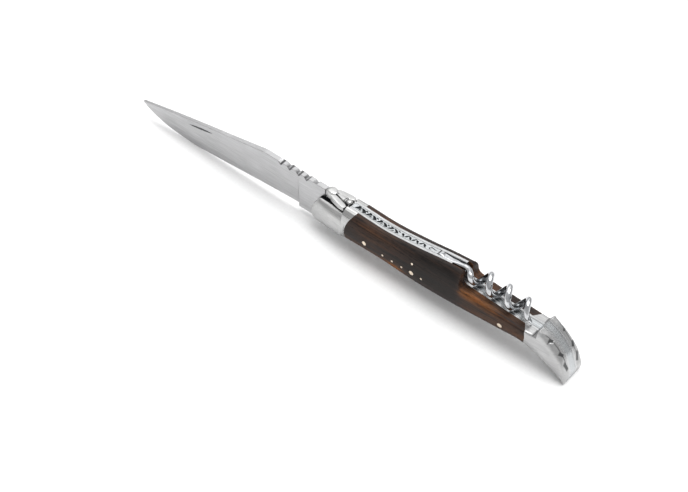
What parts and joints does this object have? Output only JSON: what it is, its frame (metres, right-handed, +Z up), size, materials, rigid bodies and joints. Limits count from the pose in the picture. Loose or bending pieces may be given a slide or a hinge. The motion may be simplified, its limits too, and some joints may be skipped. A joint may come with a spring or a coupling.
{
  "type": "pocket knife with corkscrew",
  "caption": "Slip-joint folding knife, shown open, with a pointed blade, wooden scales between steel bolsters, and a corkscrew that folds into the back of the handle.",
  "frame": {"origin": "Middle of the open knife's box on the surface it stands on: the tail's tip and the blade's belly touch z = 0.", "axes": "+X from the handle's tail towards the blade's tip, +Y towards the side with the nail nick, +Z up, towards the back of the handle and the corkscrew."},
  "size_m": [0.2192, 0.013, 0.0241],
  "materials": {
    "blade_steel": "satin ground stainless steel, fine lines along the blade",
    "bolster_steel": "satin brushed stainless steel with polished edges",
    "liner_steel": "rolled stainless sheet, edges polished",
    "spring_steel": "polished spring steel, back hand-engraved",
    "worm_steel": "mirror-polished steel wire",
    "pin_steel": "plain drawn steel",
    "nickel_silver": "nickel silver wire, filed flush and polished",
    "rosewood": "dark oiled rosewood with orange-brown streaks, satin"
  },
  "bodies": {
    "handle": {"left_front_bolster": "bolster_steel", "right_front_bolster": "bolster_steel", "left_scale": "rosewood", "right_scale": "rosewood", "left_tail_bolster": "bolster_steel", "right_tail_bolster": "bolster_steel", "left_liner": "liner_steel", "right_liner": "liner_steel", "left_scale_rivets": "nickel_silver", "right_scale_rivets": "nickel_silver", "left_cross_pins": "nickel_silver", "right_cross_pins": "nickel_silver", "left_bolster_pins": "pin_steel", "right_bolster_pins": "pin_steel", "backspring": "spring_steel", "thumb_rest": "spring_steel", "spring_pins": "pin_steel", "tail_pin": "bolster_steel", "blade_pivot_pin": "bolster_steel", "corkscrew_pivot_pin": "pin_steel"},
    "blade": {"blade": "blade_steel"},
    "corkscrew": {"corkscrew": "worm_steel"}
  },
  "joints": [
    {"name": "blade_hinge", "type": "hinge", "parent": "handle", "child": "blade", "pos_m": [0.0015, 0, 0.0083], "axis": [0, 1, 0], "range_deg": [0, 176.5]},
    {"name": "corkscrew_hinge", "type": "hinge", "parent": "handle", "child": "corkscrew", "pos_m": [-0.0533, 0, 0.0179], "axis": [0, 1, 0], "range_deg": [0, 90]}
  ]
}
